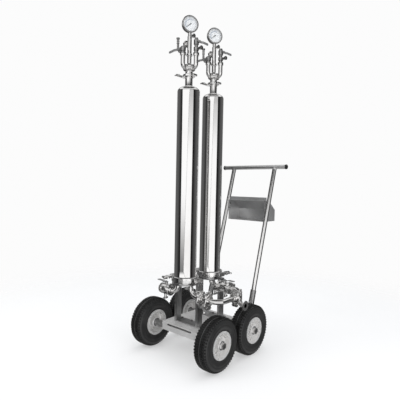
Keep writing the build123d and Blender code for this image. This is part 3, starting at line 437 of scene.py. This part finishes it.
# %% Put the finishes on
keep_cad = {"cartridge_front", "cartridge_rear", "seals"}
remade = {"bell_front", "bell_rear"} | {"tyre_" + place for place in wheels}
for name, material in dress.items():
    nodes[name].data.materials.clear()
    nodes[name].data.materials.append(material)
    if name in keep_cad or name in remade:
        continue
    solid = nodes[name].data
    mesh = bpy.data.meshes.new(name + "_finished")
    mesh.from_pydata([vert.co for vert in solid.vertices], [],
                     [tuple(face.vertices) for face in solid.polygons])
    shape = bmesh.new()
    shape.from_mesh(mesh)
    bmesh.ops.remove_doubles(shape, verts=shape.verts, dist=2e-5)
    shape.to_mesh(mesh)
    shape.free()
    settle(name + "_finished", mesh, nodes[name]["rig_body"], material,
           28.0, (name,))

# %% [markdown]
# ## The bells
# Each housing's bell is a one-metre tube with a domed end and a short neck. It is the largest
# mirror on the cart, so it is spun again here with three times the steps of the solid.


# %% Spin the bells
def bell_outline():
    outer, inner, wall = 57.15, 55.15, 2.0
    neck, neck_bore, neck_rim = 19.05, 17.4, 25.25
    foot, tube_start, shoulder, dome, top = 404.75, 410, 1353, 29, 1432.5
    steps = 24
    outline = [(60.5, foot), (60.5, foot + 2.85), (57.9, 408.5), (outer, tube_start)]
    outline += [(outer, tube_start + step * (shoulder - tube_start) / steps)
                for step in range(1, steps + 1)]
    outline += [(outer * cos(radians(angle)), shoulder + dome * sin(radians(angle)))
                for angle in range(5, 66, 5)]
    outline += [(21.5, 1379.2), (19.6, 1381.2), (neck, 1383.5), (neck, 1419.4), (20.4, 1421),
                (20.4, 1428.4), (21.75, 1429.3), (neck_rim, 1430.5), (neck_rim, top),
                (neck_bore, top), (neck_bore, 1378)]
    outline += [(inner * cos(radians(angle)), shoulder + (dome - wall) * sin(radians(angle)))
                for angle in range(70, -1, -5)]
    return outline + [(inner, foot)]


for side, centre in housing.items():
    verts, faces = spun(bell_outline(), Matrix.Translation(centre), 160, closed=True)
    mesh_piece("bell_shell_" + side, verts, faces, "cart", column_polish,
               28.0, ("bell_" + side,))

# %% [markdown]
# ## The tyres
# A hand-truck tyre has a round carcass. Two broad ribs round its crown are cut into short
# blocks, with a plain groove between them, and lugs run over each shoulder. The carcass is one
# spun outline. The blocks repeat by a rule, so Geometry Nodes set them out on circles: a block
# for each step round each row.


# %% Spin the carcasses
def carcass_outline():
    half = [(62, 30.5), (66, 33.5), (71, 34), (72.5, 36.2), (75, 36.4), (76.5, 35.6), (82, 37.8),
            (90, 39.6), (97, 40), (98, 39.4), (99.5, 39.4), (100.5, 39.9), (108, 39.2),
            (114, 37.2), (119, 34.2), (122.5, 31.2), (124.5, 28.2), (125.6, 22), (125.9, 14),
            (126, 6), (126, 0)]
    inner = [(108, 0), (107, 18), (98, 30), (84, 31), (72, 26), (66, 22), (62, 22)]
    outline = half + [(radius, -height) for radius, height in reversed(half[:-1])]
    closing = [(radius, -height) for radius, height in reversed(inner)]
    return outline + closing + inner[1:]


for place, centre in wheels.items():
    verts, faces = spun(carcass_outline(), standing(centre, outward(centre)), 144, closed=True)
    mesh_piece("tyre_carcass_" + place, verts, faces, "wheel_" + place,
               sidewall_rubber, 40.0, ("tyre_" + place,))

# %% [markdown]
# ## Geometry Nodes that set copies round a circle
# Tread blocks, rim bolts, weld ripples and dial marks are all the same idea: copies of a small
# shape on a circle, each turned to face outwards. One tree does them all. Its inputs are the
# count, the radius, the arc and the place, and it ends in real geometry with its material.


# %% A tree for copies on a circle
def ring_tree(material):
    tree = bpy.data.node_groups.new("copies_on_a_circle", "GeometryNodeTree")
    face = tree.interface
    face.new_socket("Geometry", in_out="INPUT", socket_type="NodeSocketGeometry")
    for label, kind in (("Copy", "NodeSocketObject"), ("Count", "NodeSocketInt"),
                        ("Radius", "NodeSocketFloat"), ("Height", "NodeSocketFloat"),
                        ("First", "NodeSocketFloat"), ("Step", "NodeSocketFloat")):
        face.new_socket(label, in_out="INPUT", socket_type=kind)
    face.new_socket("Geometry", in_out="OUTPUT", socket_type="NodeSocketGeometry")

    def add(kind, settings=None, inputs=None):
        node = tree.nodes.new(kind)
        for key, value in (settings or {}).items():
            setattr(node, key, value)
        for key, value in (inputs or {}).items():
            if isinstance(value, bpy.types.NodeSocket):
                tree.links.new(value, node.inputs[key])
            else:
                node.inputs[key].default_value = value
        return node

    given = add("NodeGroupInput")
    points = add("GeometryNodePoints", {}, {"Count": given.outputs["Count"]})
    index = add("GeometryNodeInputIndex")
    swing = add("ShaderNodeMath", {"operation": "MULTIPLY"}, {
        0: index.outputs[0], 1: given.outputs["Step"]})
    angle = add("ShaderNodeMath", {"operation": "ADD"}, {
        0: swing.outputs[0], 1: given.outputs["First"]})
    spin = add("ShaderNodeCombineXYZ", {}, {"Z": angle.outputs[0]})
    arm = add("ShaderNodeCombineXYZ", {}, {"X": given.outputs["Radius"],
                                           "Z": given.outputs["Height"]})
    spot = add("ShaderNodeVectorRotate", {"rotation_type": "Z_AXIS"}, {
        "Vector": arm.outputs[0], "Angle": angle.outputs[0]})
    moved = add("GeometryNodeSetPosition", {}, {
        "Geometry": points.outputs[0], "Position": spot.outputs[0]})
    copy = add("GeometryNodeObjectInfo", {}, {"Object": given.outputs["Copy"]})
    copies = add("GeometryNodeInstanceOnPoints", {}, {
        "Points": moved.outputs[0], "Instance": copy.outputs["Geometry"],
        "Rotation": spin.outputs[0]})
    real = add("GeometryNodeRealizeInstances", {}, {"Geometry": copies.outputs[0]})
    painted = add("GeometryNodeSetMaterial", {}, {"Geometry": real.outputs[0],
                                                  "Material": material})
    add("NodeGroupOutput", {}, {"Geometry": painted.outputs[0]})
    return tree


def inputs_of(tree):
    return {item.name: item.identifier for item in tree.interface.items_tree
            if item.item_type == "SOCKET" and item.in_out == "INPUT"}


def grown(tree, **values):
    """Runs a tree on an empty mesh and returns the plain mesh that it makes."""
    holder = bpy.data.objects.new("holder", bpy.data.meshes.new("holder"))
    bpy.context.scene.collection.objects.link(holder)
    modifier = holder.modifiers.new("rule", "NODES")
    modifier.node_group = tree
    keys = inputs_of(tree)
    for label, value in values.items():
        modifier[keys[label]] = value
    bpy.context.view_layer.update()
    ready = holder.evaluated_get(bpy.context.evaluated_depsgraph_get())
    mesh = bpy.data.meshes.new_from_object(ready)
    bpy.data.objects.remove(holder)
    return mesh


# %% Small shapes to copy
def seed(name, verts, faces, bevel=0.0):
    """A small shape, in millimetres about its own origin, kept only while it is copied."""
    mesh = bpy.data.meshes.new(name)
    mesh.from_pydata([Vector(vert) * mm for vert in verts], [], faces)
    shape = bmesh.new()
    shape.from_mesh(mesh)
    bmesh.ops.recalc_face_normals(shape, faces=shape.faces)
    if bevel:
        bmesh.ops.bevel(shape, geom=shape.edges[:], offset=bevel * mm, segments=1,
                        affect="EDGES", profile=0.5)
    shape.to_mesh(mesh)
    shape.free()
    piece = bpy.data.objects.new(name, mesh)
    bpy.context.scene.collection.objects.link(piece)
    return piece


def wedge(length, width, depth, taper=1.0, lean=0.0):
    """A block: length round the circle (Y), width along the axle (Z), depth outwards (X)."""
    verts = []
    for x, share in ((-depth, 1.0), (0.0, taper)):
        for y, z in ((-1, -1), (1, -1), (1, 1), (-1, 1)):
            verts.append((x, y * length / 2 * share + lean * z, z * width / 2 * share))
    return verts, [(0, 3, 2, 1), (4, 5, 6, 7), (0, 1, 5, 4), (1, 2, 6, 5), (2, 3, 7, 6),
                   (3, 0, 4, 7)]


def prism(sides, radius, low, high):
    """An upright prism about Z."""
    verts = [(radius * cos(2 * pi * k / sides), radius * sin(2 * pi * k / sides), z)
             for z in (low, high) for k in range(sides)]
    faces = [tuple(range(sides))[::-1], tuple(range(sides, 2 * sides))]
    faces += [(k, (k + 1) % sides, sides + (k + 1) % sides, sides + k) for k in range(sides)]
    return verts, faces


def gathered(name, meshes, body, material, sharp=35.0):
    """Joins plain meshes, each with its place, into one piece."""
    whole = bmesh.new()
    for mesh, place in meshes:
        mesh.transform(place)
        whole.from_mesh(mesh)
    joined = bpy.data.meshes.new(name)
    whole.to_mesh(joined)
    whole.free()
    return settle(name, joined, body, material, sharp)


# %% Lay out the tread blocks
tread = ring_tree(tread_rubber)
crown_block = seed("crown_block", *wedge(9.6, 15.5, 5.2, 0.9), bevel=0.5)
edge_block = seed("edge_block", *wedge(9.4, 7.0, 5.6, 0.86), bevel=0.5)
shoulder_lug = seed("shoulder_lug", *wedge(9.0, 9.5, 6.0, 0.8), bevel=0.6)
blocks_round, lugs_round = 66, 52
rows = [(129.9, height, crown_block, blocks_round) for height in (-11.0, 11.0)]
rows += [(128.7, height, edge_block, blocks_round) for height in (-24.6, 24.6)]
rows += [(123.8, height, shoulder_lug, lugs_round) for height in (-31.0, 31.0)]
for place, centre in wheels.items():
    on_wheel = standing(centre, outward(centre))
    meshes = []
    for number, (radius, height, block, count) in enumerate(rows):
        step = 2 * pi / count
        stagger = step / 2 * (number % 2) if block is not shoulder_lug else 0.0
        mesh = grown(tread, Copy=block, Count=count, Radius=radius * mm, Height=height * mm,
                     First=stagger, Step=step)
        meshes.append((mesh, on_wheel))
    piece = gathered("tyre_tread_" + place, meshes, "wheel_" + place,
                     tread_rubber)
    verts, faces = spun([(125.4, -2.4), (127.4, -1.7), (127.4, 1.7), (125.4, 2.4)],
                        on_wheel, 144, closed=True)
    mesh_piece("tyre_groove_" + place, verts, faces, "wheel_" + place,
               groove_rubber, 40.0)
print("tread faces on one tyre:", len(piece.data.polygons))

# %% [markdown]
# ## Rim bolts and weld ripples
# The rims are two pressed halves held by five bolts. Welds show as a row of overlapping
# ripples where the neck meets the dome and where the bell meets its bottom flange.

# %% Rim bolts
bolts = ring_tree(rim_paint)
nut = seed("rim_nut", *prism(6, 6.6, -1.0, 6.0), bevel=0.7)
stud = seed("rim_stud", *prism(10, 3.4, 5.0, 9.5), bevel=0.5)
washer = seed("rim_washer", *prism(16, 8.2, -1.6, 0.0), bevel=0.4)
bolt_count, bolt_circle, bolt_seat, first_bolt = 5, 42.5 * mm, 6.9 * mm, 0.6
for place, centre in wheels.items():
    meshes = []
    for face in (1, -1):
        for shape in (nut, stud, washer):
            mesh = grown(bolts, Copy=shape, Count=bolt_count, Radius=bolt_circle,
                         Height=bolt_seat, First=first_bolt, Step=2 * pi / bolt_count)
            meshes.append((mesh, standing(centre, outward(centre) * face)))
    gathered("rim_bolts_" + place, meshes, "wheel_" + place, rim_paint)

# %% Weld ripples
welds = ring_tree(pipe_polish)
bead = bpy.data.meshes.new("bead")
shape = bmesh.new()
bmesh.ops.create_icosphere(shape, subdivisions=1, radius=1.0)
bmesh.ops.scale(shape, vec=(1.3 * mm, 1.7 * mm, 1.6 * mm), verts=shape.verts)
shape.to_mesh(bead)
shape.free()
bead_seed = bpy.data.objects.new("bead", bead)
bpy.context.scene.collection.objects.link(bead_seed)


def weld(radius, at, ripple=1.7):
    count = int(2 * pi * radius / ripple)
    mesh = grown(welds, Copy=bead_seed, Count=count, Radius=radius * mm, Height=0.0, First=0.0,
                 Step=2 * pi / count)
    return mesh, standing(at, (0, 0, 1))


neck_weld, foot_weld = (19.6, 1.3812), (57.6, 0.4096)
meshes = [weld(radius, centre + Vector((0, 0, height))) for centre in housing.values()
          for radius, height in (neck_weld, foot_weld)]
gathered("housing_welds", meshes, "cart", pipe_polish, 60)

# %% [markdown]
# ## The dials
# Each gauge has a white dial with a scale over three quarters of a turn, a coloured band
# inside it and plain numbers. The marks are copies on an arc, from the same tree as before.

# %% Dial marks
marks = ring_tree(mark_ink)
long_mark = seed("long_mark", *wedge(0.9, 0.1, 5.0))
short_mark = seed("short_mark", *wedge(0.5, 0.1, 3.0))
gauge_turn, gauge_height = radians(60), 1.69
facing = Vector((sin(gauge_turn), -cos(gauge_turn), 0))
sideways = Vector((cos(gauge_turn), sin(gauge_turn), 0))
dial_face, scale_radius, number_radius = 4.15, 31.5, 17.5
start, sweep, band_end = radians(225), radians(-270), radians(60)


def on_dial(centre):
    return standing(centre + Vector((0, 0, gauge_height)), facing, sideways)


def flat_ring(inner, outer, first, last, height, steps=60):
    """A flat band over part of a circle, a tenth of a millimetre thick."""
    verts, faces = [], []
    for step in range(steps + 1):
        angle = first + (last - first) * step / steps
        for radius, z in ((inner, 0), (outer, 0), (outer, 0.1), (inner, 0.1)):
            verts.append((radius * cos(angle) * mm, radius * sin(angle) * mm,
                          (height + z) * mm))
    for step in range(steps):
        here, there = 4 * step, 4 * step + 4
        for k in range(4):
            after = (k + 1) % 4
            faces.append((here + k, here + after, there + after, there + k))
    faces += [(0, 3, 2, 1), (4 * steps, 4 * steps + 1, 4 * steps + 2, 4 * steps + 3)]
    return verts, faces


for side, centre in housing.items():
    place = on_dial(centre)
    meshes = []
    for shape, count in ((long_mark, 11), (short_mark, 51)):
        mesh = grown(marks, Copy=shape, Count=count, Radius=scale_radius * mm,
                     Height=dial_face * mm, First=start, Step=sweep / (count - 1))
        meshes.append((mesh, place))
    for number in range(0, 11, 2):
        text = bpy.data.curves.new("number", "FONT")
        text.body = str(number)
        text.size = 4.5 * mm
        text.align_x = "CENTER"
        text.align_y = "CENTER"
        text.extrude = 0.05 * mm
        holder = bpy.data.objects.new("number", text)
        bpy.context.scene.collection.objects.link(holder)
        bpy.context.view_layer.update()
        mesh = bpy.data.meshes.new_from_object(holder)
        bpy.data.objects.remove(holder)
        angle = start + sweep * number / 10
        meshes.append((mesh, place @ Matrix.Translation((
            number_radius * cos(angle) * mm, number_radius * sin(angle) * mm,
            dial_face * mm))))
    gathered("dial_marks_" + side, meshes, "cart", mark_ink, 60)
    verts, faces = flat_ring(22.0, 25.0, start, band_end, dial_face)
    mesh_piece("dial_band_" + side, [place @ Vector(vert) for vert in verts], faces, "cart",
               band_ink, 60)

# %% [markdown]
# ## Threads on the clamp bolts
# The big wing nuts run on T-bolts. A thread seen from here is a stack of fine rings, so the
# copies stand on a line instead of a circle: a second, shorter tree does that.


# %% A tree for copies on a line
def line_tree(material):
    tree = bpy.data.node_groups.new("copies_on_a_line", "GeometryNodeTree")
    face = tree.interface
    for label, kind in (("Geometry", "NodeSocketGeometry"), ("Copy", "NodeSocketObject"),
                        ("Count", "NodeSocketInt"), ("Pitch", "NodeSocketVector")):
        face.new_socket(label, in_out="INPUT", socket_type=kind)
    face.new_socket("Geometry", in_out="OUTPUT", socket_type="NodeSocketGeometry")
    nodes_, links = tree.nodes, tree.links
    given = nodes_.new("NodeGroupInput")
    line = nodes_.new("GeometryNodeMeshLine")
    copy = nodes_.new("GeometryNodeObjectInfo")
    copies = nodes_.new("GeometryNodeInstanceOnPoints")
    real = nodes_.new("GeometryNodeRealizeInstances")
    paint = nodes_.new("GeometryNodeSetMaterial")
    paint.inputs["Material"].default_value = material
    out = nodes_.new("NodeGroupOutput")
    links.new(given.outputs["Count"], line.inputs["Count"])
    links.new(given.outputs["Pitch"], line.inputs["Offset"])
    links.new(given.outputs["Copy"], copy.inputs["Object"])
    links.new(line.outputs[0], copies.inputs["Points"])
    links.new(copy.outputs["Geometry"], copies.inputs["Instance"])
    links.new(copies.outputs[0], real.inputs[0])
    links.new(real.outputs[0], paint.inputs[0])
    links.new(paint.outputs[0], out.inputs[0])
    return tree


def thread_ring(radius, pitch, steps=18):
    profile = [(radius - 0.1, -0.3 * pitch), (radius + 0.42, 0.0), (radius - 0.1, 0.3 * pitch)]
    verts, faces = spun(profile, Matrix.Identity(4), steps, closed=True)
    return [vert / mm for vert in verts], faces


threads = line_tree(ground_steel)
bolt_radius, thread_pitch, threads_shown = 5.0, 1.5, 3
bolt_across, bolt_out, bolt_up = 0.0785, 0.0733, 0.404
big_ring = seed("big_thread", *thread_ring(bolt_radius, thread_pitch))
meshes = []
for side, way in (("front", -1), ("rear", 1)):
    bolt_end = housing[side] + Vector((way * bolt_across, way * bolt_out, bolt_up))
    mesh = grown(threads, Copy=big_ring, Count=threads_shown, Pitch=(0, 0, thread_pitch * mm))
    meshes.append((mesh, standing(bolt_end, (0, way, 0))))
gathered("base_bolt_threads", meshes, "cart", ground_steel, 60)

for helper in (crown_block, edge_block, shoulder_lug, nut, stud, washer, bead_seed, long_mark,
               short_mark, big_ring):
    bpy.data.objects.remove(helper)

# %% [markdown]
# ## Floor, background and light
# A plain pale floor keeps the soft contact shadows and fades out before its edge shows. The
# world is pale for the camera. For reflections it is a photographer's tent: tall white panels
# in front and behind, with dark gaps at the sides, which is what draws the stripes on a
# polished tube.


# %% Floor
def floor():
    finish = Finish("floor_sweep")
    here = finish.add("ShaderNodeTexCoord", output="Object")
    reach = finish.add("ShaderNodeVectorMath", {"operation": "LENGTH"}, {0: here},
                       output="Value")
    fade = finish.spread(reach, 1.1, 2.4)
    matt = finish.add("ShaderNodeBsdfDiffuse", {}, {"Color": (0.5, 0.5, 0.502, 1)})
    glow = finish.add("ShaderNodeEmission", {}, {"Color": (0.4, 0.4, 0.401, 1)})
    matt = finish.add("ShaderNodeAddShader", {}, {0: matt, 1: glow})
    clear = finish.add("ShaderNodeBsdfTransparent")
    faded = finish.add("ShaderNodeMixShader", {}, {0: fade, 1: matt, 2: clear})
    finish.add("ShaderNodeOutputMaterial", {}, {"Surface": faded})
    verts, faces = spun([(0, 0), (2600, 0)], Matrix.Translation((0, 0, -0.0005)), 64)
    mesh = bpy.data.meshes.new("floor")
    mesh.from_pydata([tuple(vert) for vert in verts], [], faces)
    mesh.materials.append(finish.material)
    sheet = bpy.data.objects.new("floor", mesh)
    sheet.visible_glossy = False
    bpy.context.scene.collection.objects.link(sheet)


floor()

# %% Tent and background
world = bpy.data.worlds.new("tent")
bpy.context.scene.world = world
world.use_nodes = True
tent = Finish("tent", world.node_tree)
ray = tent.add("ShaderNodeTexCoord", output="Generated")
east, north, rise = tent.parts(ray)
bearing = radians(-48.7)
turned_north = north * cos(bearing) - east * sin(bearing)
turned_east = east * cos(bearing) + north * sin(bearing)
around = tent.add("ShaderNodeMath", {"operation": "ARCTAN2"}, {
    0: turned_north, 1: turned_east}) * degrees(1)
tilt = tent.add("ShaderNodeMath", {"operation": "ARCSINE"}, {0: rise}) * degrees(1)
seam = tilt * 0.95 - 4.0
from_seam = around - seam
left_fade = tent.spread(tilt, -16, 0, 0.15, 1.4)
right_fade = tent.spread(tilt, 3, 15, 1.4, 0.8)
left_panel = tent.spread(around + tilt * 0.25, -60, -54) * (1 - tent.spread(from_seam, -1.5, 0))
right_panel = tent.spread(from_seam, 0, 1.5) * (1 - tent.spread(around, 50, 55))
away = tent.add("ShaderNodeMath", {"operation": "ABSOLUTE"}, {0: around})
back_panel = tent.spread(away + tilt * 0.9, 146, 158) * tent.spread(tilt, -22, 8, 0.9, 0.22)
side_level = tent.spread(away, 58, 110, 0.01, 0.14)
stripes = side_level + left_panel * left_fade + right_panel * right_fade + back_panel
overhead = tent.spread(rise, 0.5, 0.62) * (1 - tent.spread(rise, 0.8, 0.9))
seen_in_steel = stripes * (1 - tent.spread(rise, 0.3, 0.5)) + overhead * 1.1
underfoot = 1 - tent.spread(rise, -0.62, -0.42)
seen_in_steel = seen_in_steel * (1 - underfoot) + underfoot * 0.55
path = tent.tree.nodes.new("ShaderNodeLightPath")
camera_ray = Wire(tent, path.outputs["Is Camera Ray"])
glossy_ray = Wire(tent, path.outputs["Is Glossy Ray"])
through_ray = Wire(tent, path.outputs["Is Transmission Ray"])
plain = tent.add("ShaderNodeBackground", {}, {"Color": (0.973, 0.973, 0.973, 1),
                                              "Strength": 1.0})
soft = tent.add("ShaderNodeBackground", {}, {"Color": (0.96, 0.98, 1, 1), "Strength": 0.85})
panels = tent.add("ShaderNodeBackground", {}, {"Strength": seen_in_steel})
first = tent.add("ShaderNodeMixShader", {}, {0: glossy_ray, 1: soft, 2: panels})
pale = tent.add("ShaderNodeMath", {"operation": "MAXIMUM"}, {0: camera_ray, 1: through_ray})
sky = tent.add("ShaderNodeMixShader", {}, {0: pale, 1: first, 2: plain})
tent.add("ShaderNodeOutputWorld", {}, {"Surface": sky})


# %% Lamps
def lamp(name, at, aim, size, power):
    light = bpy.data.lights.new(name, "AREA")
    light.shape = "RECTANGLE"
    light.size, light.size_y = size
    light.energy = power
    holder = bpy.data.objects.new(name, light)
    holder.location = at
    holder.rotation_euler = (Vector(aim) - Vector(at)).to_track_quat("-Z", "Y").to_euler()
    holder.visible_glossy = False
    bpy.context.scene.collection.objects.link(holder)


lamp("key", (-1.2, -2.8, 2.9), (0, 0, 0.6), (1.8, 1.8), 42)
lamp("fill", (3.0, -0.6, 1.8), (0, 0, 0.5), (1.6, 2.2), 22)
lamp("top", (0.2, 0.3, 3.6), (0, 0, 0.5), (2.2, 2.2), 30)

# %% [markdown]
# ## Camera
# The camera stands a little above half the cart's height, to the right of its front, and
# looks slightly down. It leans by about a degree, so the matrix is given whole instead of as
# a target.

# %% Camera
lens = bpy.data.cameras.new("front_quarter")
lens.lens = 34.73
lens.sensor_width = 36.0
eye = bpy.data.objects.new("front_quarter", lens)
bpy.context.scene.collection.objects.link(eye)
right = Vector((0.7505, 0.6606, 0.0204))
above = Vector((-0.0398, 0.0143, 0.9991))
back = Vector((0.6597, -0.7507, 0.0370))
eye.matrix_world = Matrix.Translation((1.3539, -1.68935, 0.8804)) @ Matrix(
    (right, above, back)).transposed().to_4x4()
bpy.context.scene.camera = eye
bpy.context.scene.view_settings.view_transform = "Standard"
